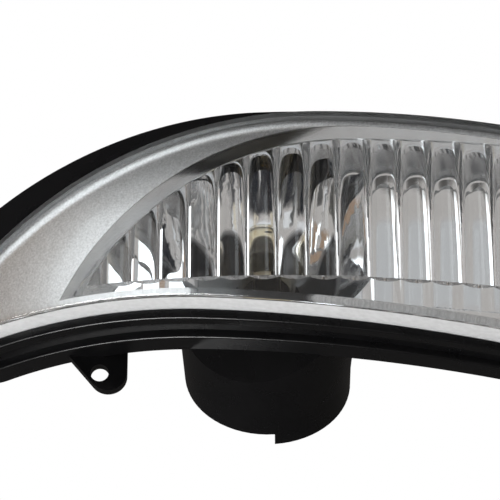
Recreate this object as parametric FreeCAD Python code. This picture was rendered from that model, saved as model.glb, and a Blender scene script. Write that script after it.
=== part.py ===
import FreeCAD, Part
import math
import os
from FreeCAD import Placement, Rotation, Vector

# Mirror turn signal lamp, in millimetres.
# +X runs inboard along the lamp, the lens faces -Y and +Z is up. The origin is midway between
# the two fixing screws, on the plane where their lugs seat.

# Fixing
screw_spacing = 120.0       # between the two fixing screws, along X
screw_hole = 3.2            # clearance hole for each screw
lug_radius = 3.3            # round end of each lug
lug_thickness = 2.0         # lug plate ahead of its seat
lug_offset = 1.5            # outboard lug's round end, inboard of its hole
lug_spread = 8.0            # its sloping side meets the housing this far outboard of the hole
lug_root = 2.0              # its root inside the rear flange, ahead of the plate
leg_thickness = 2.0         # inboard lug's leg along the end wall
leg_length = 8.0            # leg ahead of the plate

# Lens face: one arc in plan, turned about a level axis behind it
wrap_radius = 150.0         # radius of the arc in plan
barrel_radius = 85.0        # upright radius at the foremost point
apex_depth = 34.2           # foremost point ahead of the lug seats
equator = 11.7              # level of the turning axis above the screws

# Lens outline, seen from the front
crown_x = -30.0             # highest point of the top edge
crown_z = 38.5
outboard_radius = 74.0      # top edge outboard of the crown
crown_bend = 6.0            # degrees of fall where the flatter inboard stretch begins
inboard_radius = 600.0      # top edge inboard of the crown
arch_x = -68.0              # highest point of the hollow lower edge
arch_z = 4.95
arch_radius = 173.0
lower_fall = 9.2            # degrees of fall of the straight lower edge
end_x = 54.0                # inboard end, at the level of the equator
end_lean = 6.0              # degrees that the inboard end leans outboard at its top
tip_round = 7.0             # corner radii: outboard tip, upper and lower inboard corners
upper_round = 14.0
lower_round = 9.0

# Lens
lens_wall = 2.2
skirt_wall = 1.0            # thinner wall of the skirt round the face
skirt_seat = 1.6            # skirt's back edge behind the housing's front
lens_edge_round = 0.8
flute_angle = 1.97          # pitch of the flutes, degrees of the plan arc
flute_phase = 0.6           # one groove's place on the plan arc, degrees inboard of the apex
flute_base = 0.4            # groove bottoms above the wall
flute_height = 1.1          # ridges above the grooves
flute_margin = 3.5          # flutes stop this far inside the window's arc and its line
flute_end_gap = 1.0         # and this far inside the tray's end wall
foot_x = -20.0              # a point on the line of the flutes' feet
foot_z = 5.05
foot_fall = 5.0             # degrees of fall of that line

# Housing
rim_width = 1.7             # front and rear flanges beyond the lens outline
rim_fall = 8.7              # degrees of fall of their straight lower edges
rim_shift = 10.0            # front flange's top arcs: those of the lens moved outboard
rim_rise = 0.7              # and up
rim_depth = 4.1             # front flange's face below the lens face
rim_lift = 6.0              # its surface moved up by this: shallower at the top, deeper below
rim_thickness = 2.5
rear_flange_front = 12.6    # rear flange's front below the lens face
flank_depth = 18.0          # back of the housing below the lens face
heel_step = 0.4             # rear flange stops short of the back by this
flange_round = 0.4          # rounded edges of both flanges
core_width = 0.2            # groove floor beyond the lens outline
side_wall = 1.4
back_wall = 2.0
dome_wall = 2.0             # back wall's bulge round the reflector's bowl
rib_height = 2.5
rib_thickness = 1.6
rib_first_x = 4.0
rib_pitch = 17.0
rib_count = 3
rib_margin = 4.0            # ribs stop this far inside the lens outline

# Socket tower, on an axis that falls towards the back
port_x = -30.6              # middle of the tower's end
port_y = 7.8
port_z = 4.1
tower_tilt = 20.0           # degrees of fall
tower_radius = 14.7         # at its end
tower_base_radius = 17.0    # where it meets the back wall
tower_length = 36.0
tower_wall = 2.2
collar_step = 0.2           # longer and thicker inboard half of the tower's end
collar_length = 13.0
collar_overhang = 2.3
collar_side = 1.3           # where it begins, inboard of the axis
recess_depth = 4.5          # end of the tower to the port wall
port_wall = 2.5
port_radius = 9.6
key_width = 5.6             # keyways for the holder's two tabs
key_reach = 2.4
turn_angle = 45.0           # from locked to free

# Reflector
reflector_front = 3.0       # satin border below the lens face
reflector_wall = 1.0
window_x = -20.5            # centre of the window's outboard arc
window_z = -16.1
window_radius = 51.2
window_fall = 4.0           # degrees of fall of the line that leaves the arc at its top
tray_depth = 6.5            # tray floor behind the border
bowl_radius = 19.0          # bowl around the bulb, at the tray floor
bowl_start = 31.0           # its mouth, ahead of the tower's end
bulb_hole = 5.8             # radius of the hole at the bowl's bottom

# Bulb holder, measured along the tower's axis
holder_length = 15.0        # tower's end to the holder's front
tab_width = 5.0
tab_reach = 2.0             # tabs beyond the plug
tab_thickness = 2.1
seal_thickness = 0.8
seal_width = 2.7
plug_width = 12.6           # connector shroud
plug_height = 8.6
plug_length = 8.5
plug_wall = 1.5
plug_floor = 0.5
plug_round = 1.2
latch_width = 4.0
latch_length = 3.0
latch_height = 1.0

# Contacts
contact_spacing = 4.4       # between the two pins
leaf_width = 2.6
leaf_thickness = 0.4
leaf_setback = 0.2          # leaf's tip below the holder's front
foot_thickness = 0.6
pin_width = 1.5
pin_thickness = 0.64
pin_length = 6.5            # beyond the tower's end

# Bulb
bulb_radius = 5.0
bulb_wall = 0.7
bulb_length = 19.0          # round part of the envelope
pinch_width = 9.4
pinch_thickness = 2.2
pinch_depth = 6.8           # flat foot inside the holder
lead_radius = 0.2
lead_fold = 3.6             # outer ends folded back along the flat foot
filament_radius = 0.3
filament_rise = 9.5         # filament ahead of the holder's front

# Clearances
lens_clearance = 0.15       # lens skirt to the housing's pocket
reflector_clearance = 0.25  # reflector's edge to the side wall
seat_clearance = 0.05       # lens and reflector to the faces they rest on
bowl_clearance = 0.4        # bowl to the housing
port_clearance = 0.3        # holder's plug to the port
flange_clearance = 0.4      # holder's flange to the tower's recess
tab_clearance = 0.3         # tabs to the port wall
seal_clearance = 0.1        # seal to the port wall
pinch_clearance = 0.1       # bulb's foot to its slot
bulb_clearance = 0.2        # envelope to the holder's front
lead_clearance = 0.05       # folded leads to the contacts

reach = 90.0                # half length of the blanks cut to shape along Y

# Places that several pieces share: insets from the lens outline, then depths below the lens face
wall_inset = side_wall - core_width
reflector_inset = wall_inset + reflector_clearance
window_inset = reflector_inset + reflector_wall
lens_back = rim_depth + skirt_seat
tray_front = reflector_front + tray_depth
seat_depth = flank_depth - back_wall

# Along the tower's axis
plug_radius = port_radius - port_clearance
recess_radius = tower_radius - tower_wall
seal_front = -recess_depth + seal_clearance
flange_front = seal_front + seal_thickness

# Contact faces beside the bulb's flat foot and below its folded leads
leaf_y = pinch_thickness / 2 + 2 * lead_radius + lead_clearance
fold_depth = pinch_depth - holder_length + 2 * lead_radius + lead_clearance


def at(x, z):
    return Vector(x, 0, z)


def arc(centre, start, end):
    radius = (start - centre).Length
    middle = centre + ((start - centre) + (end - centre)).normalize() * radius
    return Part.Arc(start, middle, end).toShape()


def circles_meet(first, first_radius, second, second_radius):
    """Outboard crossing of two circles in the front view."""
    gap = second - first
    along = (gap.Length ** 2 + first_radius ** 2 - second_radius ** 2) / (2 * gap.Length)
    across = math.sqrt(first_radius ** 2 - along ** 2)
    base = first + gap.normalize() * along
    side = Vector(-gap.z, 0, gap.x) * across
    return min(base + side, base - side, key=lambda point: point.x)


def circle_meets_line(centre, radius, point, direction):
    """Upper crossing of a circle and a line in the front view."""
    offset = point - centre
    half = offset.dot(direction)
    root = math.sqrt(half ** 2 - offset.dot(offset) + radius ** 2)
    ends = [point + direction * (-half + root), point + direction * (-half - root)]
    return max(ends, key=lambda end: end.z)


def lines_meet(first, first_direction, second, second_direction):
    cross = first_direction.x * second_direction.z - first_direction.z * second_direction.x
    gap = second - first
    along = (gap.x * second_direction.z - gap.z * second_direction.x) / cross
    return first + first_direction * along


def extrude(face):
    """Blank along the whole depth with the front-view outline of a face."""
    shape = face.extrude(Vector(0, 2 * reach, 0))
    shape.translate(Vector(0, -reach, 0))
    return shape


def outline(grow, lower=lower_fall, shift=0, rise=0):
    """Lamp outline as a face, set out by grow; its lower line may fall less, its top arcs may be moved."""
    top = at(crown_x - shift, crown_z + rise - outboard_radius)
    top_radius = outboard_radius + grow
    bend = math.radians(90 - crown_bend)
    to_knee = at(math.cos(bend), math.sin(bend))
    knee = top + to_knee * top_radius
    inboard = knee - to_knee * (inboard_radius + grow)
    arch = at(arch_x, arch_z - arch_radius)
    hollow_radius = arch_radius - grow
    fall = math.radians(lower)
    lower_direction = at(math.cos(fall), -math.sin(fall))
    lower_start = arch + at(math.sin(fall), math.cos(fall)) * hollow_radius
    lean = math.radians(end_lean)
    end_direction = at(-math.sin(lean), math.cos(lean))
    end_point = at(end_x, equator) + at(math.cos(lean), math.sin(lean)) * grow

    tip = circles_meet(top, top_radius, arch, hollow_radius)
    upper = circle_meets_line(inboard, inboard_radius + grow, end_point, end_direction)
    corner = lines_meet(lower_start, lower_direction, end_point, end_direction)
    edges = [
        arc(top, tip, knee),
        arc(inboard, knee, upper),
        Part.makeLine(upper, corner),
        Part.makeLine(corner, lower_start),
        arc(arch, lower_start, tip),
    ]
    solid = extrude(Part.Face(Part.Wire(edges)))
    for point, radius in ((tip, tip_round), (upper, upper_round), (corner, lower_round)):
        solid = solid.makeFillet(radius + grow, upright_edges(solid, point))
    front = min(solid.Faces, key=lambda face: face.CenterOfMass.y).copy()
    front.translate(Vector(0, reach, 0))
    return front


def upright_edges(solid, corner):
    """The edge of a blank that runs along Y through a corner of its outline."""
    ends = [edge for edge in solid.Edges if edge.BoundBox.YLength > reach]
    gap = lambda edge: math.hypot(edge.CenterOfMass.x - corner.x, edge.CenterOfMass.z - corner.z)
    return [min(ends, key=gap)]


lens_outline = outline(0)
rim_outline = outline(rim_width, rim_fall, rim_shift, rim_rise)


def blank(grow):
    return extrude(outline(grow))


def plan_point(depth, angle):
    """Point of the turning profile at a depth below the lens face, at an angle of the plan arc."""
    radius = wrap_radius - depth
    z = equator - wrap_radius + barrel_radius + radius * math.cos(math.radians(angle))
    return Vector(radius * math.sin(math.radians(angle)), -apex_depth + barrel_radius, z)


def turn(edges):
    """Half turn of a profile about the lens face's level axis, from the top over the front."""
    axis = Vector(0, -apex_depth + barrel_radius, equator)
    return Part.Face(Part.Wire(edges)).revolve(axis, Vector(1, 0, 0), 180)


def behind(depth, lift=0):
    """All that lies behind the surface parallel to the lens face at a depth, moved up by lift."""
    radius = wrap_radius - depth
    limit = math.sqrt(radius ** 2 - (wrap_radius - barrel_radius + 2) ** 2)
    outboard = math.degrees(math.asin(max(rim_outline.BoundBox.XMin - 1, -limit) / radius))
    inboard = math.degrees(math.asin(min(end_x + 20, limit) / radius))
    first, last = plan_point(depth, outboard), plan_point(depth, inboard)
    low_last, low_first = (Vector(point.x, point.y, equator) for point in (last, first))
    return turn([
        Part.Arc(first, plan_point(depth, (outboard + inboard) / 2), last).toShape(),
        Part.makeLine(last, low_last),
        Part.makeLine(low_last, low_first),
        Part.makeLine(low_first, first),
    ]).translated(at(0, lift))


def slab(solid, front, back, lift=0):
    """The part of a blank between two depths below the lens face."""
    return solid.common(behind(front, lift)).cut(behind(back, lift))


def rounded(solid):
    """A slab with the edges of its front and back faces rounded."""
    front, back = sorted(solid.Faces, key=lambda face: face.Area)[-2:]
    return solid.makeFillet(flange_round, front.Edges + back.Edges)


def box(x0, x1, y0, y1, z0, z1):
    return Part.makeBox(x1 - x0, y1 - y0, z1 - z0, Vector(x0, y0, z0))


def window_blank(offset, radius):
    """Window seen from the front: the lens outline set in, under one arc and the line that leaves it."""
    disc = Part.makeCylinder(radius, 2 * reach, Vector(window_x, -reach, window_z), Vector(0, 1, 0))
    below = box(0, 2 * reach, -reach, reach, -2 * reach, radius)
    below.rotate(Vector(0, 0, 0), Vector(0, 1, 0), window_fall)
    below.translate(at(window_x, window_z))
    return blank(-offset).common(disc.fuse(below).removeSplitter())


# Along the tower: z runs backwards along its axis from its end, x stays inboard, y is down
tower_place = Placement(Vector(port_x, port_y, port_z), Rotation(Vector(1, 0, 0), -90 - tower_tilt))


def on_tower(shape):
    shape = shape.copy()
    shape.Placement = tower_place.multiply(shape.Placement)
    return shape


def drum(radius, start, end):
    return Part.makeCylinder(radius, end - start, Vector(0, 0, start))


def lathe(edges):
    """Full turn about the tower's axis of a profile drawn in x and z."""
    return Part.Face(Part.Wire(edges)).revolve(Vector(0, 0, 0), Vector(0, 0, 1), 360)


def make_flutes():
    groove = lens_wall + flute_base
    ridge = groove + flute_height
    room = lens_outline.BoundBox
    first = math.floor(math.degrees(math.asin((window_x - window_radius) / wrap_radius)) / flute_angle)
    last = math.ceil(math.degrees(math.asin(room.XMax / wrap_radius)) / flute_angle)
    angles = [flute_phase + flute_angle * step for step in range(first, last + 1)]
    edges = []
    for angle in angles[:-1]:
        points = [plan_point(depth, angle + flute_angle * share)
                  for depth, share in ((groove, 0), (ridge, 0.5), (groove, 1))]
        edges.append(Part.Arc(*points).toShape())
    root = lens_wall / 2
    start, end = plan_point(root, angles[0]), plan_point(root, angles[-1])
    middle = plan_point(root, (angles[0] + angles[-1]) / 2)
    edges.append(Part.makeLine(plan_point(groove, angles[-1]), end))
    edges.append(Part.Arc(end, middle, start).toShape())
    edges.append(Part.makeLine(start, plan_point(groove, angles[0])))
    feet = box(-2 * reach, 2 * reach, -reach, reach, 0, 2 * reach)
    feet.rotate(Vector(0, 0, 0), Vector(0, 1, 0), foot_fall)
    feet.translate(at(foot_x, foot_z))
    field = window_blank(window_inset + flute_end_gap, window_radius - flute_margin).common(feet)
    return turn(edges).common(field)


def make_lens():
    body = blank(0).common(behind(0)).cut(behind(lens_back, rim_lift))
    face = max(body.Faces, key=lambda side: side.Area)
    body = body.makeFillet(lens_edge_round, face.Edges)
    hollow = blank(-skirt_wall).common(behind(lens_wall))
    return body.cut(hollow).fuse(make_flutes()).removeSplitter()


def make_lugs():
    """Two screw lugs: the outboard one hangs below the flank, the inboard one stands off the end."""
    half = screw_spacing / 2
    top = arch_z + side_wall
    centre = at(lug_offset, 0)
    start = at(lug_offset + lug_radius, 0)
    corner = at(-lug_spread, top)
    gap = corner - centre
    lean = math.atan2(gap.z, gap.x) + math.acos(lug_radius / gap.Length)
    touch = centre + at(math.cos(lean), math.sin(lean)) * lug_radius
    hanging = Part.Face(Part.Wire([
        Part.Arc(start, centre - at(0, lug_radius), touch).toShape(),
        Part.makeLine(touch, corner),
        Part.makeLine(corner, at(start.x, top)),
        Part.makeLine(at(start.x, top), start),
    ])).extrude(Vector(0, lug_thickness, 0))
    hanging.translate(Vector(-half, -lug_thickness, 0))
    root = box(-half - lug_radius, -half + lug_radius, -lug_thickness - lug_root, 0,
               arch_z - rim_width / 2, top)
    end = Part.makeCylinder(lug_radius, lug_thickness, Vector(half, -lug_thickness, 0), Vector(0, 1, 0))
    web = box(end_x, half, -lug_thickness, 0, -lug_radius, lug_radius)
    leg = box(end_x, end_x + leg_thickness, -lug_thickness - leg_length, 0, -lug_radius, lug_radius)
    return hanging.fuse([root, end, web, leg]).removeSplitter()


def screw_drills():
    places = [Vector(side * screw_spacing / 2, -reach, 0) for side in (-1, 1)]
    return [Part.makeCylinder(screw_hole / 2, 2 * reach, place, Vector(0, 1, 0)) for place in places]


def make_ribs():
    band = slab(blank(-rib_margin), flank_depth - back_wall / 2, flank_depth + rib_height)
    ribs = []
    for step in range(rib_count):
        x = rib_first_x + rib_pitch * step
        ribs.append(band.common(box(x, x + rib_thickness, -reach, reach, -reach, reach)))
    return ribs


def tower_outside():
    slope = Part.makeCone(tower_base_radius, tower_radius, tower_length, Vector(0, 0, -tower_length))
    collar = drum(tower_radius + collar_step, -collar_length, collar_overhang)
    half = box(collar_side, 2 * tower_radius, -2 * tower_radius, 2 * tower_radius,
               -tower_length, tower_length)
    return on_tower(slope.fuse(collar.common(half)))


def tower_inside():
    """Room for the bowl, the port with its two keyways, and the recess for the holder's flange."""
    port_front = -recess_depth - port_wall
    room = Part.makeCone(tower_base_radius - tower_wall, recess_radius, tower_length + port_front,
                         Vector(0, 0, -tower_length))
    recess = drum(recess_radius, -recess_depth, tower_length)
    port = drum(port_radius, -tower_length, tower_length)
    key_radius = port_radius + key_reach
    keys = drum(key_radius, -tower_length, 0)
    slot = box(-key_radius, key_radius, -key_width / 2, key_width / 2, -tower_length, 0)
    slot.rotate(Vector(0, 0, 0), Vector(0, 0, 1), turn_angle)
    bored = on_tower(room.fuse([recess, port, keys.common(slot)]))
    return bored.common(blank(-wall_inset)).fuse(bored.common(behind(flank_depth + back_wall / 2)))


def make_housing():
    rim = rounded(slab(extrude(rim_outline), rim_depth, rim_depth + rim_thickness, rim_lift))
    core = blank(core_width).common(behind(rim_depth + rim_thickness / 2, rim_lift)).cut(behind(flank_depth))
    heel_outline = extrude(outline(rim_width, rim_fall))
    heel = rounded(slab(heel_outline, rear_flange_front, flank_depth - heel_step))
    bowl_room = reflector_wall + bowl_clearance
    tower = tower_outside().fuse(bowl_solid(bowl_room + dome_wall))
    tower = tower.common(behind(flank_depth - back_wall / 2))
    body = core.fuse([rim, heel, tower, make_lugs()] + make_ribs())

    pocket = blank(lens_clearance).cut(behind(lens_back + seat_clearance, rim_lift))
    room = blank(-wall_inset).cut(behind(seat_depth))
    cuts = [pocket, room, bowl_solid(bowl_room).common(blank(-wall_inset)), tower_inside()]
    return body.cut(cuts + screw_drills()).removeSplitter()


def bowl_solid(wall):
    """Bowl about the bulb, its curve an arc through three points of the paraboloid on the filament."""
    focus = holder_length + filament_rise
    span = bowl_start - focus
    focal = (math.hypot(span, bowl_radius) - span) / 2
    vertex = focus - focal
    hole = vertex + bulb_hole ** 2 / (4 * focal)

    def rim(share):
        radius = bulb_hole + (bowl_radius - bulb_hole) * share
        return Vector(radius + wall, 0, -vertex - radius ** 2 / (4 * focal))

    first, middle, last = rim(0), rim(0.5), rim(1)
    beyond = Vector(last.x, 0, last.z - tray_depth - reflector_wall)
    return on_tower(lathe([
        Part.Arc(first, middle, last).toShape(),
        Part.makeLine(last, beyond),
        Part.makeLine(beyond, Vector(0, 0, beyond.z)),
        Part.makeLine(Vector(0, 0, beyond.z), Vector(0, 0, first.z)),
        Part.makeLine(Vector(0, 0, first.z), first),
    ]))


def make_reflector():
    """Satin border, the tray in its window, the bowl round the bulb and a skirt down to the back wall."""
    outside = blank(-reflector_inset)
    inside = blank(-window_inset)
    window = window_blank(window_inset, window_radius)
    tray_wall = window_blank(reflector_inset, window_radius + reflector_wall)
    body = slab(outside, reflector_front, seat_depth - seat_clearance)
    under_border = inside.cut(tray_wall).common(behind(reflector_front + reflector_wall))
    under_tray = inside.common(behind(tray_front + reflector_wall))
    tray = window.cut(behind(tray_front))
    bowl = bowl_solid(reflector_wall).common(outside).common(behind(tray_front + reflector_wall / 2))
    shell = body.cut([under_border, under_tray, tray]).fuse(bowl)
    return shell.cut(bowl_solid(0).common(window)).removeSplitter()


def make_holder():
    flange = drum(recess_radius - flange_clearance, flange_front, 0)
    plug = drum(plug_radius, -holder_length, flange_front)
    tab_back = -recess_depth - port_wall - tab_clearance
    ring = drum(plug_radius + tab_reach, tab_back - tab_thickness, tab_back)
    bar = box(-reach, reach, -tab_width / 2, tab_width / 2, -reach, reach)
    shroud = box(-plug_width / 2, plug_width / 2, -plug_height / 2, plug_height / 2,
                 -plug_floor, plug_length)
    sides = [edge for edge in shroud.Edges if edge.BoundBox.ZLength > plug_length / 2]
    shroud = shroud.makeFillet(plug_round, sides)
    latch = Part.Face(Part.makePolygon([
        Vector(0, -plug_height / 2 + plug_wall / 2, plug_length - latch_length),
        Vector(0, -plug_height / 2 - latch_height, plug_length - latch_length),
        Vector(0, -plug_height / 2, plug_length),
        Vector(0, -plug_height / 2 + plug_wall / 2, plug_length),
        Vector(0, -plug_height / 2 + plug_wall / 2, plug_length - latch_length),
    ])).extrude(Vector(latch_width, 0, 0))
    latch.translate(Vector(-latch_width / 2, 0, 0))
    body = flange.fuse([plug, ring.common(bar), shroud, latch])

    mouth = box(plug_wall - plug_width / 2, plug_width / 2 - plug_wall,
                plug_wall - plug_height / 2, plug_height / 2 - plug_wall, plug_floor, reach)
    foot = box(-pinch_width / 2 - pinch_clearance, pinch_width / 2 + pinch_clearance,
               -pinch_thickness / 2 - pinch_clearance, pinch_thickness / 2 + pinch_clearance,
               -reach, pinch_depth - holder_length)
    cuts = [mouth, foot]
    for side in (-1, 1):
        cuts.append(make_contact(side))
        cuts.append(lead_room(side))
    return body.cut(cuts).removeSplitter()


def lead_room(side):
    """Space beside the bulb's foot for one folded lead."""
    x = side * contact_spacing / 2
    y0, y1 = sorted((-side * pinch_thickness / 2, side * leaf_y))
    return box(x - leaf_width / 2, x + leaf_width / 2, y0, y1, -holder_length - 1, fold_depth)


def make_contact(side):
    """Spring leaf beside the bulb's foot, a foot across the holder and a pin into the connector."""
    x = side * contact_spacing / 2
    y0, y1 = sorted((side * leaf_y, side * (leaf_y + leaf_thickness)))
    across0, across1 = sorted((-side * pin_thickness / 2, side * (leaf_y + leaf_thickness)))
    x0, x1 = x - leaf_width / 2, x + leaf_width / 2
    foot_back = fold_depth + foot_thickness
    leaf = box(x0, x1, y0, y1, leaf_setback - holder_length, fold_depth)
    foot = box(x0, x1, across0, across1, fold_depth, foot_back)
    pin = box(x - pin_width / 2, x + pin_width / 2,
              -pin_thickness / 2, pin_thickness / 2, foot_back, pin_length)
    return leaf.fuse([foot, pin]).removeSplitter()


def make_seal():
    ring = drum(plug_radius + seal_width, seal_front, flange_front)
    return ring.cut(drum(plug_radius, seal_front, flange_front))


def capsule(radius):
    """Round-ended envelope; its outer size is bulb_radius, its wall is measured inwards."""
    back = -holder_length - bulb_clearance - bulb_radius
    front = back - (bulb_length - 2 * bulb_radius)
    slope = math.sqrt(0.5) * radius
    return lathe([
        Part.Arc(Vector(0, 0, front - radius), Vector(slope, 0, front - slope),
                 Vector(radius, 0, front)).toShape(),
        Part.makeLine(Vector(radius, 0, front), Vector(radius, 0, back)),
        Part.Arc(Vector(radius, 0, back), Vector(slope, 0, back + slope),
                 Vector(0, 0, back + radius)).toShape(),
        Part.makeLine(Vector(0, 0, back + radius), Vector(0, 0, front - radius)),
    ])


def make_lead(side):
    """One lead: filament support, through the flat foot, round its end and back along its face."""
    x = side * contact_spacing / 2
    face = side * (pinch_thickness / 2 + lead_radius)
    end = pinch_depth - holder_length + lead_radius
    top = -holder_length - filament_rise - 2 * filament_radius
    ball = Part.makeSphere(lead_radius)
    support = Part.makeCylinder(lead_radius, end - top, Vector(x, 0, top))
    turn_out = Part.makeCylinder(lead_radius, abs(face), Vector(x, 0, end), Vector(0, side, 0))
    folded = Part.makeCylinder(lead_radius, lead_fold, Vector(x, face, end - lead_fold))
    bends = [ball.translated(Vector(x, 0, end)), ball.translated(Vector(x, face, end))]
    return support.fuse([turn_out, folded] + bends).removeSplitter()


def make_glass():
    foot = box(-pinch_width / 2, pinch_width / 2, -pinch_thickness / 2, pinch_thickness / 2,
               -holder_length - bulb_radius / 2, pinch_depth - holder_length)
    glass = capsule(bulb_radius).fuse(foot).cut(capsule(bulb_radius - bulb_wall))
    return glass.cut([make_lead(side) for side in (-1, 1)]).removeSplitter()


def make_filament():
    z = -holder_length - filament_rise
    start = Vector(-contact_spacing / 2, 0, z)
    coil = Part.makeCylinder(filament_radius, contact_spacing, start, Vector(1, 0, 0))
    return coil.cut([make_lead(side) for side in (-1, 1)])


pieces = {
    "lens": make_lens(),
    "housing": make_housing(),
    "reflector": make_reflector(),
    "bulb_holder": on_tower(make_holder()),
    "holder_seal": on_tower(make_seal()),
    "contact_outboard": on_tower(make_contact(-1)),
    "contact_inboard": on_tower(make_contact(1)),
    "bulb_glass": on_tower(make_glass()),
    "bulb_lead_outboard": on_tower(make_lead(-1)),
    "bulb_lead_inboard": on_tower(make_lead(1)),
    "bulb_filament": on_tower(make_filament()),
}

os.makedirs("parts", exist_ok=True)
for name, shape in pieces.items():
    shape.exportStep("parts/" + name + ".step")
    print(name, shape.isValid(), len(shape.Solids), round(shape.Volume, 1), len(shape.Faces))
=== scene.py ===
import math
import bmesh
import bpy
import numpy as np
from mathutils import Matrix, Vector


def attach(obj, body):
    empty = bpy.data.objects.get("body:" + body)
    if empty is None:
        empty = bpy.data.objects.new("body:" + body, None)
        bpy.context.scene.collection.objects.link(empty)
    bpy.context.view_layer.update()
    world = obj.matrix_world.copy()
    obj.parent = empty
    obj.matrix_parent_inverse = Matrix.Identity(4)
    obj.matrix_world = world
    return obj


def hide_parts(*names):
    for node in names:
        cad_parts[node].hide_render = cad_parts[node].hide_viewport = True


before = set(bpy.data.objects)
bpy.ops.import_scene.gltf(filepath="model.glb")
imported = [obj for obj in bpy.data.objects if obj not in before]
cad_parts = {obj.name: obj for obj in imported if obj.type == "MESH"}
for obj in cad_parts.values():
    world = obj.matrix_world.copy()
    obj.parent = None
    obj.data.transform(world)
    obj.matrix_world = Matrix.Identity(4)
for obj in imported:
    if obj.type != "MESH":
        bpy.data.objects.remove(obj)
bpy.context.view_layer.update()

mm = 0.001
scene = bpy.context.scene
print("frame loaded:", len(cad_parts), "nodes")


# Shader sums: one socket, with operators that add Math nodes
class Wire:
    def __init__(self, tree, socket=None):
        self.tree, self.socket = tree, socket

    def add(self, kind, settings=None, sockets=None, out=0):
        # one node: its settings first, then the values or links of its sockets
        node = self.tree.nodes.new(kind)
        for name, value in (settings or {}).items():
            setattr(node, name, value)
        for name, value in (sockets or {}).items():
            if isinstance(value, Wire):
                self.tree.links.new(value.socket, node.inputs[name])
            else:
                node.inputs[name].default_value = value
        return Wire(self.tree, node.outputs[out] if len(node.outputs) else None)

    def sums(self, operation, *values):
        return self.add("ShaderNodeMath", {"operation": operation}, dict(enumerate(values)))

    def __add__(self, other):
        return self.sums("ADD", self, other)

    def __radd__(self, other):
        return self.sums("ADD", other, self)

    def __sub__(self, other):
        return self.sums("SUBTRACT", self, other)

    def __rsub__(self, other):
        return self.sums("SUBTRACT", other, self)

    def __mul__(self, other):
        return self.sums("MULTIPLY", self, other)

    def __rmul__(self, other):
        return self.sums("MULTIPLY", other, self)

    def __truediv__(self, other):
        return self.sums("DIVIDE", self, other)

    def __rtruediv__(self, other):
        return self.sums("DIVIDE", other, self)

    def __pow__(self, other):
        return self.sums("POWER", self, other)

    def above(self, edge, soft):
        # 0 below edge - soft, 1 above edge + soft
        return self.add("ShaderNodeMapRange", {"interpolation_type": "SMOOTHSTEP"},
                        {"Value": self, "From Min": edge - soft, "From Max": edge + soft})

    def mixColour(self, first, second):
        return self.add("ShaderNodeMix", {"data_type": "RGBA"}, {0: self, 6: first, 7: second}, out=2)


def newMaterial(name):
    material = bpy.data.materials.new(name)
    material.use_nodes = True
    material.node_tree.nodes.clear()
    return material, Wire(material.node_tree)


def finishMaterial(maker, shader):
    maker.add("ShaderNodeOutputMaterial", None, {"Surface": shader})


def dress(piece, material):
    piece.data.materials.clear()
    piece.data.materials.append(material)


# Lamp face, and the lamp's outline seen from the front; mm and degrees
lampFace = {"wrapRadius": 150.0, "barrelRadius": 85.0, "apexDepth": 34.2, "equator": 11.7}
lampOutline = {
    "crown": (-30.0, 38.5), "outboardRadius": 74.0, "crownBend": 6.0, "inboardRadius": 600.0,
    "arch": (-68.0, 4.95), "archRadius": 173.0, "lowerFall": 9.2, "endX": 54.0, "endLean": 6.0,
    "tipRound": 7.0, "upperRound": 14.0, "lowerRound": 9.0, "stepsPerArc": 400,
}


def faceY(x, z, depth):
    # plan arc of radius wrapRadius - depth, turned about the level axis through the barrel's centre
    s = lampFace
    local = np.sqrt((s["wrapRadius"] - depth) ** 2 - x ** 2) - (s["wrapRadius"] - s["barrelRadius"])
    return s["barrelRadius"] - s["apexDepth"] - np.sqrt(local ** 2 - (z - s["equator"]) ** 2)


def unit(degrees):
    # cosine and sine of an angle
    return np.array([math.cos(math.radians(degrees)), math.sin(math.radians(degrees))])


def angleOf(vector):
    return math.degrees(math.atan2(vector[1], vector[0]))


def ringsMeet(first, firstRadius, second, secondRadius):
    # the outboard crossing of two circles
    gap = second - first
    length = np.hypot(*gap)
    along = (length ** 2 + firstRadius ** 2 - secondRadius ** 2) / (2 * length)
    across = math.sqrt(firstRadius ** 2 - along ** 2)
    base = first + gap / length * along
    side = np.array([-gap[1], gap[0]]) / length * across
    return min(base + side, base - side, key=lambda point: point[0])


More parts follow.
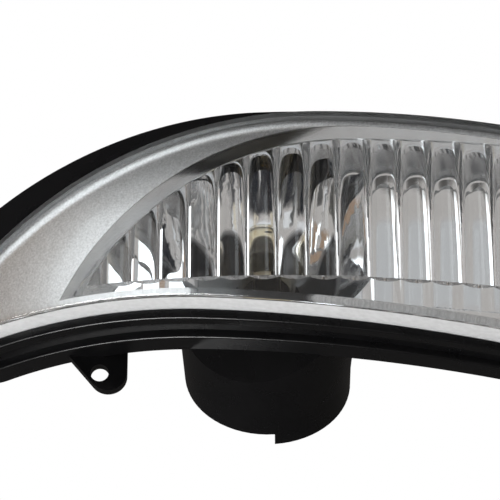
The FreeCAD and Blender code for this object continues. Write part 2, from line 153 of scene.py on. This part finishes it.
def outlinePath():
    # closed run of tangent arcs, each as centre + radius * unit(angle); straight stretches join them
    s = lampOutline
    top = np.array(s["crown"]) - [0, s["outboardRadius"]]
    arch = np.array(s["arch"]) - [0, s["archRadius"]]
    knee = unit(90 - s["crownBend"])
    inboard = top + knee * (s["outboardRadius"] - s["inboardRadius"])
    endNormal = unit(s["endLean"])
    endPoint = np.array([s["endX"], lampFace["equator"]])
    lowNormal = unit(-90 - s["lowerFall"])
    lowPoint = arch - lowNormal * s["archRadius"]
    tip = ringsMeet(top, s["outboardRadius"] - s["tipRound"], arch, s["archRadius"] + s["tipRound"])
    lower = np.linalg.solve([endNormal, lowNormal],
                            [endNormal @ endPoint - s["lowerRound"], lowNormal @ lowPoint - s["lowerRound"]])
    # upper corner: at its own radius inside the end line and inside the inboard arc
    onLine = endPoint - endNormal * s["upperRound"]
    along = np.array([-endNormal[1], endNormal[0]])
    half = (onLine - inboard) @ along
    root = math.sqrt(half ** 2 - (onLine - inboard) @ (onLine - inboard)
                     + (s["inboardRadius"] - s["upperRound"]) ** 2)
    upper = onLine + along * (root - half)
    tipTop, tipArch = angleOf(tip - top), angleOf(arch - tip)
    # centre, radius, first and last angle, and -1 where the arc is hollow
    arcs = [
        (tip, s["tipRound"], tipArch % 360, tipTop % 360, 1),
        (top, s["outboardRadius"], tipTop % 360, 90 - s["crownBend"], 1),
        (inboard, s["inboardRadius"], 90 - s["crownBend"], angleOf(upper - inboard), 1),
        (upper, s["upperRound"], angleOf(upper - inboard), s["endLean"], 1),
        (lower, s["lowerRound"], s["endLean"], -90 - s["lowerFall"], 1),
        (arch, s["archRadius"], 90 - s["lowerFall"], angleOf(tip - arch), -1),
    ]
    places, normals = [], []
    for centre, radius, start, end, side in arcs:
        angle = np.radians(np.linspace(start, end, s["stepsPerArc"]))
        ray = np.stack([np.cos(angle), np.sin(angle)], axis=1)
        places.append(centre + radius * ray)
        normals.append(side * ray)
    return np.concatenate(places), np.concatenate(normals)


pathPlaces, pathNormals = outlinePath()


def sideRun(grow, upper):
    # the outline grown by grow is place + grow * normal; this is one side of it, from outboard to inboard
    places = pathPlaces + grow * pathNormals
    first, last = places[:, 0].argmin(), places[:, 0].argmax()
    start, end = (first, last) if upper else (last, first)
    run = np.roll(np.arange(len(places)), -start)[:(end - start) % len(places) + 1]
    run = run if upper else run[::-1]
    return places[run], pathNormals[run]


def edgeAt(grow, x, upper):
    # height and normal of one side of the grown outline, at many x
    places, normals = sideRun(grow, upper)
    z = np.interp(x, places[:, 0], places[:, 1])
    normal = np.stack([np.interp(x, places[:, 0], part) for part in normals.T], axis=1)
    return z, normal / np.linalg.norm(normal, axis=1)[:, None]


print("outline worked out:", len(pathPlaces), "points")


# Clear lens: face, rounded edge, skirt and fluted inside as one closed skin; mm and degrees
lens = {
    "wall": 2.2, "skirtWall": 1.0, "skirtBack": 5.7, "backLift": 6.0, "edgeRound": 0.8, "edgeSteps": 6,
    "pitch": 1.97, "phase": 0.6, "base": 0.4, "height": 1.1, "columnsPerFlute": 14,         # flutes
    "endWidth": 0.3, "endColumns": 40,                                  # close columns at both ends
    "endInset": 3.45, "windowCentre": (-20.5, -16.1), "padRadius": 47.7, "padFall": 4.0,    # flutes' tops
    "foot": (-20.0, 5.05), "footFall": 5.0, "footOverEdge": 0.05, "footUnderTop": 0.1,      # flutes' feet
    "leastPad": 1e-6, "stepShare": 0.85,
    "faceRows": 48, "lowRows": 10, "fluteRows": 30, "highRows": 8,
}
# points closer than this are one, in metres; an edge stays sharp past its angle
joining = {"mergeWithin": 2e-6, "dropWithin": 1e-6, "lensAngle": 30, "nodeAngle": 28}


def fluteColumns():
    # each flute is a circle's arc over its pitch, from groove to groove; columns fall on its angles
    s = lens
    groove = s["wall"] + s["base"]
    low, high = sideRun(-s["skirtWall"], True)[0][[0, -1], 0]
    chord = 2 * (lampFace["wrapRadius"] - groove) * math.sin(math.radians(s["pitch"] / 2))
    radius = (chord ** 2 / 4 + s["height"] ** 2) / (2 * s["height"])
    first = math.floor(math.degrees(math.asin(low / lampFace["wrapRadius"])) / s["pitch"])
    last = math.ceil(math.degrees(math.asin(high / lampFace["wrapRadius"])) / s["pitch"])
    share = np.arange((last - first) * s["columnsPerFlute"] + 1) / s["columnsPerFlute"]
    angle = np.radians(s["phase"] + s["pitch"] * (first + share))
    across = chord * (share % 1 - 0.5)
    depth = groove + np.sqrt(radius ** 2 - across ** 2) - (radius - s["height"])
    x = (lampFace["wrapRadius"] - depth) * np.sin(angle)
    keep = (x > low + s["endWidth"]) & (x < high - s["endWidth"])
    # extra columns close up towards the two ends
    ends = s["endWidth"] * (1 - np.cos(np.linspace(0, math.pi / 2, s["endColumns"])))[:-1]
    x = np.concatenate([low + ends, x[keep], high - ends[::-1]])
    plain = np.full(s["endColumns"] - 1, groove)
    return x, np.concatenate([plain, depth[keep], plain])


def lift(x, z, depth):
    # front-view points laid at a depth below the face
    return np.stack([x, faceY(x, z, depth), z], axis=-1)


def gridQuads(rows, columns, start):
    # four corners a face, between each row and the next
    index = start + np.arange(rows * columns).reshape(rows, columns)
    corners = [index[:-1, :-1], index[:-1, 1:], index[1:, 1:], index[1:, :-1]]
    return np.stack(corners, axis=-1).reshape(-1, 4)


def meshFrom(name, grids, marks):
    # grids of points, rows by columns, closed by merging the points that they share
    faces, start = [], 0
    for grid in grids:
        faces.append(gridQuads(grid.shape[0], grid.shape[1], start))
        start += grid.shape[0] * grid.shape[1]
    points = np.concatenate([grid.reshape(-1, 3) for grid in grids]) * mm
    mesh = bpy.data.meshes.new(name)
    mesh.from_pydata(points.tolist(), [], np.concatenate(faces).tolist())
    # one mark for each row of faces
    mark = np.concatenate([np.repeat(row, grid.shape[1] - 1) for row, grid in zip(marks, grids)])
    mesh.attributes.new("skirt", "FLOAT", "FACE").data.foreach_set("value", mark.astype(np.float32))
    work = bmesh.new()
    work.from_mesh(mesh)
    bmesh.ops.remove_doubles(work, verts=work.verts, dist=joining["mergeWithin"])
    bmesh.ops.dissolve_degenerate(work, edges=work.edges, dist=joining["dropWithin"])
    bmesh.ops.recalc_face_normals(work, faces=work.faces)
    if work.calc_volume(signed=True) < 0:
        bmesh.ops.reverse_faces(work, faces=work.faces)
    work.to_mesh(mesh)
    work.free()
    mesh.polygons.foreach_set("use_smooth", np.ones(len(mesh.polygons), bool))
    piece = bpy.data.objects.new(name, mesh)
    scene.collection.objects.link(piece)
    return piece


def splitEdges(piece, degrees):
    split = piece.modifiers.new("sharp edges", "EDGE_SPLIT")
    split.split_angle = math.radians(degrees)


def makeLens():
    s = lens
    x, ridge = fluteColumns()
    sides = {upper: edgeAt(-s["skirtWall"], x, upper) for upper in (False, True)}
    zLow, zHigh = sides[False][0], sides[True][0]

    def grown(upper, grow):
        # one side of the skirt's outer edge, moved out by grow along its normals
        z, normal = sides[upper]
        return np.stack([x, z], axis=1) + s["skirtWall"] * normal + grow * normal

    def ring(upper, grow, depth, raised):
        # that side laid at a depth below the face, with the face's surface moved up by raised
        spot = grown(upper, grow)
        return np.stack([spot[:, 0], faceY(spot[:, 0], spot[:, 1] - raised, depth), spot[:, 1]], axis=-1)

    def rows(start, end, count, depth):
        # even steps from one height to another, laid at a depth below the face
        step = np.linspace(0, 1, count)[:, None]
        z = start + step * (end - start)
        return lift(np.broadcast_to(x, z.shape), z, depth)

    # outer face: straight from the lower to the upper edge round, laid on the face; rows close up at both
    share = (1 - np.cos(np.linspace(0, math.pi, s["faceRows"])))[:, None] / 2
    low, high = (grown(upper, -s["edgeRound"]) for upper in (False, True))
    face = lift(low[:, 0] + share * (high - low)[:, 0], low[:, 1] + share * (high - low)[:, 1], 0.0)

    # edge: quarter round, skirt, back edge and inner side, carried along the outline
    turn = np.linspace(0, math.pi / 2, s["edgeSteps"])
    profile = [(s["edgeRound"] * (math.sin(a) - 1), s["edgeRound"] * (1 - math.cos(a)), 0.0) for a in turn]
    profile += [(0.0, s["skirtBack"], s["backLift"]), (-s["skirtWall"], s["skirtBack"], s["backLift"]),
                (-s["skirtWall"], s["wall"], 0.0)]
    edges = [np.stack([ring(upper, *step) for step in profile]) for upper in (False, True)]

    # the flutes' feet lie on a line with a small fall, inside the skirt
    footX, footZ = s["foot"]
    zFoot = footZ - (x - footX) * math.tan(math.radians(s["footFall"]))
    zFoot = np.clip(zFoot, zLow + s["footOverEdge"], zHigh - s["footUnderTop"])
    # their tops: one arc, then the line that leaves it with a small fall, inside the outline set in
    inset = sideRun(-s["endInset"], True)[0]
    zTop = np.interp(x, inset[:, 0], inset[:, 1], left=-np.inf, right=-np.inf)
    centreX, centreZ = s["windowCentre"]
    touchX, touchZ = np.array([centreX, centreZ]) + s["padRadius"] * unit(90 - s["padFall"])
    disc = centreZ + np.sqrt(np.maximum(s["padRadius"] ** 2 - (x - centreX) ** 2, 0))
    line = touchZ - (x - touchX) * math.tan(math.radians(s["padFall"]))
    zTop = np.maximum(np.minimum(zTop, np.where(x < touchX, disc, line)), zFoot)
    padDepth = np.where(zTop > zFoot + s["leastPad"], ridge, s["wall"])

    # inside: plain below the feet, flutes, plain above
    inside = np.concatenate([
        rows(zLow, zFoot, s["lowRows"], s["wall"]),
        rows(zFoot, zTop, s["fluteRows"], padDepth),
        rows(zTop, zHigh, s["highRows"], s["wall"]),
    ])
    # ground rows: the skirt, and partly the step at the flutes' tops
    plain = np.zeros(len(face) - 1)
    step = (np.arange(len(inside) - 1) == s["lowRows"] + s["fluteRows"] - 1) * s["stepShare"]
    ground = (np.arange(len(profile) - 1) >= s["edgeSteps"] - 1) * 1.0
    piece = meshFrom("lens_clear", [face, inside] + edges, [plain, step, ground, ground])
    splitEdges(piece, joining["lensAngle"])
    return piece


lensPiece = makeLens()
print("lens made:", len(lensPiece.data.polygons), "faces")


# CAD nodes keep their meshes; modifiers join their loose triangles and smooth them
def smoothNode(name):
    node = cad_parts[name]
    node.data.polygons.foreach_set("use_smooth", np.ones(len(node.data.polygons), bool))
    weld = node.modifiers.new("join", "WELD")
    weld.merge_threshold = joining["mergeWithin"]
    splitEdges(node, joining["nodeAngle"])
    node.modifiers.new("even", "WEIGHTED_NORMAL")
    return node


def objectPlace(maker):
    return maker.add("ShaderNodeTexCoord", None, None, out="Object")


def placeAlong(maker, place, axes="XYZ"):
    # a place's coordinates along the named axes
    return [maker.add("ShaderNodeSeparateXYZ", None, {"Vector": place}, out=axis) for axis in axes]


def noise(maker, place, scale, detail, roughness=0.5):
    return maker.add("ShaderNodeTexNoise", None, {
        "Vector": place, "Scale": scale, "Detail": detail, "Roughness": roughness})


def bumpOf(maker, height, strength, depth):
    return maker.add("ShaderNodeBump", None, {"Strength": strength, "Distance": depth, "Height": height})


def faceDepth(maker, place):
    # depth below the lens face in mm: the face's formula turned round
    s = lampFace
    x, y, z = (value / mm for value in placeAlong(maker, place))
    back = y - (s["barrelRadius"] - s["apexDepth"])
    high = z - s["equator"]
    local = (back * back + high * high) ** 0.5 + (s["wrapRadius"] - s["barrelRadius"])
    return s["wrapRadius"] - (x * x + local * local) ** 0.5


# Clear plastic; bump depths here and below are in metres
clear = {
    "colour": (0.985, 0.99, 0.992, 1), "roughness": 0.0, "index": 1.49,
    "waveScale": 130.0, "waveDetail": 2.0, "waveStrength": 0.12, "waveDepth": 0.00002,
    "ground": (0.74, 0.755, 0.765, 1), "groundRoughness": 0.55, "groundShare": 0.72,
    "groundSpread": 0.3, "groundScale": 900.0, "groundDetail": 4.0,
}


def clearPlastic():
    s = clear
    material, maker = newMaterial("clear_plastic")
    # faint flow waves of the moulding
    wave = noise(maker, objectPlace(maker), s["waveScale"], s["waveDetail"])
    shader = maker.add("ShaderNodeBsdfPrincipled", None, {
        "Base Color": s["colour"], "Roughness": s["roughness"], "IOR": s["index"], "Transmission Weight": 1.0,
        "Normal": bumpOf(maker, wave, s["waveStrength"], s["waveDepth"])})
    # marked faces are ground, so they look white, in patches
    skirt = maker.add("ShaderNodeAttribute", {"attribute_name": "skirt"}, None, out="Fac")
    patch = noise(maker, objectPlace(maker), s["groundScale"], s["groundDetail"])
    ground = maker.add("ShaderNodeBsdfPrincipled", None, {
        "Base Color": s["ground"], "Roughness": s["groundRoughness"], "IOR": s["index"]})
    share = skirt * (s["groundShare"] + s["groundSpread"] * (patch - 0.5))
    shader = maker.add("ShaderNodeMixShader", None, {0: share, 1: shader, 2: ground})
    finishMaterial(maker, shader)
    return material


black = {
    "dark": (0.0026, 0.0026, 0.0030, 1), "light": (0.0044, 0.0044, 0.0050, 1), "specular": 0.5,
    "roughness": 0.22, "roughnessSpread": 0.12, "cloudScale": 160.0, "cloudDetail": 3.0,
    "grainScale": 2600.0, "grainDetail": 4.0, "grainStrength": 0.06, "grainDepth": 0.00008,
}


def blackMoulding():
    s = black
    material, maker = newMaterial("black_moulding")
    place = objectPlace(maker)
    grain = noise(maker, place, s["grainScale"], s["grainDetail"])
    cloud = noise(maker, place, s["cloudScale"], s["cloudDetail"])
    shader = maker.add("ShaderNodeBsdfPrincipled", None, {
        "Base Color": cloud.mixColour(s["dark"], s["light"]),
        "Roughness": s["roughness"] + s["roughnessSpread"] * cloud, "Specular IOR Level": s["specular"],
        "Normal": bumpOf(maker, grain, s["grainStrength"], s["grainDepth"])})
    finishMaterial(maker, shader)
    return material


# Metal coat: satin border, then the window's wall, then a bright tray, by depth below the face in mm; round
# the bulb's axis a dark disc of painted shade takes the coat's place
metal = {
    "satin": (0.66, 0.665, 0.67, 1), "satinRoughness": 0.38, "borderDepth": 3.35, "borderSoft": 0.05,
    "wall": (0.93, 0.935, 0.94, 1), "wallRoughness": 0.22, "wallDepth": 8.6, "wallSoft": 0.3,
    "bright": (0.86, 0.87, 0.88, 1), "brightRoughness": 0.04,
    "grainScale": 2800.0, "grainDetail": 3.0, "grainRoughness": 0.7, "grainSpread": 1.2,
    "grainStrength": 0.25, "grainDepth": 0.00012,
    # the dark disc round the bulb's axis is painted shade: its colour, roughness, radius, soft edge and reach
    # below
    "paintedShade": (0.010, 0.012, 0.016, 1), "paintedShadeRoughness": 0.12, "paintedShadeRadius": 12.3, "paintedShadeSoft": 0.7,
    "paintedShadeDrop": 3.8, "dropEdge": -7.0, "dropSoft": 2.0,
    "bulbPlace": (-30.6, 7.8, 4.1), "bulbTilt": 20.0,
}


def brightMetal():
    s = metal
    material, maker = newMaterial("metallised")
    place = objectPlace(maker)
    depth = faceDepth(maker, place)
    wall, tray = depth.above(s["borderDepth"], s["borderSoft"]), depth.above(s["wallDepth"], s["wallSoft"])
    # painted shade: round the bulb's axis, and wider below it, the coat gives way to a dark non-metal disc
    # that paints the bowl's dark centre
    x, y, z = (value / mm - start for value, start in zip(placeAlong(maker, place), s["bulbPlace"]))
    tilt = math.radians(s["bulbTilt"])
    over = y * math.sin(tilt) + z * math.cos(tilt)
    low = 1 - over.above(s["dropEdge"], s["dropSoft"])
    coatOutsideShade = ((x * x + over * over) ** 0.5 - s["paintedShadeDrop"] * low).above(s["paintedShadeRadius"], s["paintedShadeSoft"])
    grain = noise(maker, place, s["grainScale"], s["grainDetail"], s["grainRoughness"])
    satin = (grain - 0.5) * s["grainSpread"]
    speckle = maker.add("ShaderNodeHueSaturation", None, {"Value": 1.0 + satin, "Color": s["satin"]})
    shine = s["satinRoughness"] + wall * (s["wallRoughness"] - s["satinRoughness"])
    shine = shine + tray * (s["brightRoughness"] - shine)
    colour = tray.mixColour(wall.mixColour(speckle, s["wall"]), s["bright"])
    shader = maker.add("ShaderNodeBsdfPrincipled", None, {
        "Base Color": coatOutsideShade.mixColour(s["paintedShade"], colour), "Metallic": coatOutsideShade,
        "Roughness": s["paintedShadeRoughness"] + coatOutsideShade * (shine - s["paintedShadeRoughness"]),
        "Normal": bumpOf(maker, grain, s["grainStrength"] * (1 - tray), s["grainDepth"])})
    finishMaterial(maker, shader)
    return material


bulb = {
    "pale": (0.985, 0.95, 0.85, 1), "deep": (0.975, 0.90, 0.72, 1), "cloudScale": 220.0, "cloudDetail": 2.0,
    "roughness": 0.02, "roughnessSpread": 0.03, "index": 1.45,
}


def amberGlass():
    s = bulb
    material, maker = newMaterial("amber_glass")
    cloud = noise(maker, objectPlace(maker), s["cloudScale"], s["cloudDetail"])
    shader = maker.add("ShaderNodeBsdfPrincipled", None, {
        "Base Color": cloud.mixColour(s["pale"], s["deep"]),
        "Roughness": s["roughness"] + s["roughnessSpread"] * cloud,
        "IOR": s["index"], "Transmission Weight": 1.0})
    finishMaterial(maker, shader)
    return material


# Small inner pieces: two tones mixed by a cloud, with a fine grain
innerGrain = {
    "cloudDetail": 3.0, "roughnessSpread": 0.12, "grainDetail": 4.0, "grainStrength": 0.08,
    "grainDepth": 0.00006,
}
inner = {
    "holder_nylon": {
        "nodes": ["bulb_holder"], "dark": (0.012, 0.012, 0.013, 1), "light": (0.030, 0.030, 0.031, 1),
        "metallic": 0.0, "roughness": 0.42, "cloudScale": 300.0, "grainScale": 3000.0},
    "seal_rubber": {
        "nodes": ["holder_seal"], "dark": (0.010, 0.010, 0.010, 1), "light": (0.022, 0.021, 0.020, 1),
        "metallic": 0.0, "roughness": 0.75, "cloudScale": 500.0, "grainScale": 4000.0},
    "contact_brass": {
        "nodes": ["contact_outboard", "contact_inboard"],
        "dark": (0.52, 0.36, 0.14, 1), "light": (0.80, 0.62, 0.32, 1),
        "metallic": 1.0, "roughness": 0.30, "cloudScale": 400.0, "grainScale": 5000.0},
    "lead_wire": {
        "nodes": ["bulb_lead_outboard", "bulb_lead_inboard", "bulb_filament"],
        "dark": (0.30, 0.30, 0.30, 1), "light": (0.55, 0.54, 0.53, 1),
        "metallic": 1.0, "roughness": 0.35, "cloudScale": 900.0, "grainScale": 6000.0},
}


def twoTone(name, look):
    s = {**innerGrain, **look}
    material, maker = newMaterial(name)
    place = objectPlace(maker)
    cloud = noise(maker, place, s["cloudScale"], s["cloudDetail"])
    grain = noise(maker, place, s["grainScale"], s["grainDetail"])
    shader = maker.add("ShaderNodeBsdfPrincipled", None, {
        "Base Color": cloud.mixColour(s["dark"], s["light"]), "Metallic": s["metallic"],
        "Roughness": s["roughness"] + s["roughnessSpread"] * (cloud - 0.5),
        "Normal": bumpOf(maker, grain, s["grainStrength"], s["grainDepth"])})
    finishMaterial(maker, shader)
    return material


dress(lensPiece, clearPlastic())
moulding = blackMoulding()
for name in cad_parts:
    dress(smoothNode(name), moulding)
dress(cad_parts["reflector"], brightMetal())
dress(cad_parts["bulb_glass"], amberGlass())
for name, look in inner.items():
    material = twoTone(name, look)
    for node in look["nodes"]:
        dress(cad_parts[node], material)
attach(lensPiece, "lamp")
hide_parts("lens")
print("materials set")


# Studio: pale floor, white surroundings, soft lights, and the camera below the lamp's front; metres
studio = {
    "floorLevel": -0.30, "floorSize": 4.0, "floorColour": (0.9, 0.9, 0.9, 1), "floorRoughness": 0.6,
    "camera": (-33.67, -436.10, -187.81), "lookUp": 26.0,               # mm and degrees
    "focalPixels": 2700.0, "imagePixels": 500.0, "sensor": 36.0, "clipStart": 0.01,
    "cameraLevel": 1.0, "diffuseLevel": 0.5, "glossLevel": 0.05, "throughLevel": 0.5,
    "cameraTint": (1, 1, 1, 1), "skyTint": (1.0, 0.95, 0.91, 1),
    "middle": (-0.030, -0.015, 0.017), "cardSoft": 0.5, "bounces": 20,
}
# cards that show only through the clear lens: direction from the lamp, distance, size, colour
cards = {
    "left window": ((-0.63, -0.67, 0.38), 1.0, (0.62, 0.78), (2.25, 2.35, 2.39, 1)),
    "brown wall": ((-0.89, -0.272, 0.37), 1.0, (0.46, 0.9), (0.32, 0.22, 0.15, 1)),
    "ceiling": ((-0.17, -0.34, 0.92), 1.0, (1.3, 0.75), (0.07, 0.066, 0.062, 1)),
    "right wall": ((0.05, -0.86, 0.36), 1.0, (0.6, 0.55), (0.52, 0.525, 0.53, 1)),
    "low light": ((-0.1, -0.97, -0.20), 1.0, (1.3, 0.25), (0.78, 0.79, 0.80, 1)),
    "cream wall": ((0.36, -0.84, -0.24), 0.95, (0.34, 0.26), (0.62, 0.56, 0.45, 1)),
    "dark room": ((-0.08, -0.76, -0.62), 0.9, (1.45, 0.66), (0.010, 0.012, 0.018, 1)),
    "left floor": ((-0.79, -0.42, -0.46), 0.88, (0.46, 0.56), (0.075, 0.075, 0.073, 1)),
    "near floor": ((-0.49, -0.62, -0.46), 0.86, (0.22, 0.32), (0.085, 0.085, 0.083, 1)),
}
# soft lights: place, target, size, watts, and whether glossy surfaces mirror the light
lights = {
    "key": ((-0.5, -0.6, 0.6), (-0.03, 0, 0.02), (0.5, 0.3), 6.0, False),
    "edge light": ((-0.27, -0.13, -0.26), (-0.06, -0.01, 0.003), (0.12, 0.12), 0.9, True),
}


def makeWorld():
    # white to the camera; dimmer where it lights the lamp, shows through the lens or is mirrored
    s = studio
    world = bpy.data.worlds.new("studio")
    scene.world = world
    world.use_nodes = True
    world.node_tree.nodes.clear()
    maker = Wire(world.node_tree)
    camera, glossy, through = (maker.add("ShaderNodeLightPath", None, None, out=kind)
                               for kind in ("Is Camera Ray", "Is Glossy Ray", "Is Transmission Ray"))
    level = s["diffuseLevel"]
    levels = ((glossy, s["glossLevel"]), (through, s["throughLevel"]), (camera, s["cameraLevel"]))
    for rays, strength in levels:
        level = level + rays * (strength - level)
    tint = camera.mixColour(s["skyTint"], s["cameraTint"])
    sky = maker.add("ShaderNodeBackground", None, {"Color": tint, "Strength": level})
    maker.add("ShaderNodeOutputWorld", None, {"Surface": sky})


def makeRectangle(name, wide, high, level):
    x, y = wide / 2, high / 2
    corners = [(-x, -y, level), (x, -y, level), (x, y, level), (-x, y, level)]
    mesh = bpy.data.meshes.new(name)
    mesh.from_pydata(corners, [], [(0, 1, 2, 3)])
    rectangle = bpy.data.objects.new(name, mesh)
    scene.collection.objects.link(rectangle)
    return rectangle


def makeFloor():
    s = studio
    floor = makeRectangle("floor", s["floorSize"], s["floorSize"], s["floorLevel"])
    material, maker = newMaterial("pale_floor")
    shader = maker.add("ShaderNodeBsdfPrincipled", None, {
        "Base Color": s["floorColour"], "Roughness": s["floorRoughness"]})
    finishMaterial(maker, shader)
    dress(floor, material)
    floor.visible_glossy = floor.visible_transmission = False     # neither mirrored nor seen through the lens


def makeCamera():
    s = studio
    data = bpy.data.cameras.new("camera")
    data.sensor_width = s["sensor"]
    data.lens = s["focalPixels"] / s["imagePixels"] * s["sensor"]
    data.clip_start = s["clipStart"]
    camera = bpy.data.objects.new("camera", data)
    camera.location = [value * mm for value in s["camera"]]
    camera.rotation_euler = (math.radians(90 + s["lookUp"]), 0, 0)
    scene.collection.objects.link(camera)
    scene.camera = camera


def makeLight(name, place, target, size, watts, mirrored):
    data = bpy.data.lights.new(name, "AREA")
    data.shape, data.size, data.size_y = "RECTANGLE", size[0], size[1]
    data.energy = watts
    light = bpy.data.objects.new(name, data)
    light.location = place
    light.rotation_euler = (Vector(target) - Vector(place)).to_track_quat("-Z", "Y").to_euler()
    # through the lens, the cards stand in for the lights
    light.visible_glossy = mirrored
    light.visible_transmission = light.visible_camera = False
    scene.collection.objects.link(light)


def makeCard(name, direction, distance, size, colour):
    card = makeRectangle(name, size[0], size[1], 0)
    away = Vector(direction).normalized()
    card.location = Vector(studio["middle"]) + away * distance
    card.rotation_euler = (-away).to_track_quat("Z", "Y").to_euler()
    material, maker = newMaterial(name)
    # full in its middle and clear at its edges, by the squares of the shares u and v
    u, v = (value / (side / 2) for value, side in zip(placeAlong(maker, objectPlace(maker), "XY"), size))
    soft = studio["cardSoft"] / 2
    fade = (1 - (u * u).above(1 - soft, soft)) * (1 - (v * v).above(1 - soft, soft))
    glow = maker.add("ShaderNodeEmission", None, {"Color": colour})
    clearGap = maker.add("ShaderNodeBsdfTransparent")
    finishMaterial(maker, maker.add("ShaderNodeMixShader", None, {0: fade, 1: clearGap, 2: glow}))
    dress(card, material)
    card.visible_camera = card.visible_diffuse = card.visible_glossy = card.visible_shadow = False


makeWorld()
makeFloor()
makeCamera()
for name, card in cards.items():
    makeCard(name, *card)
for name, light in lights.items():
    makeLight(name, *light)
scene.view_settings.view_transform = "Standard"
# light crosses the lens and the bowl many times
scene.cycles.max_bounces = studio["bounces"]
scene.cycles.glossy_bounces = scene.cycles.transmission_bounces = studio["bounces"]
print("studio set")
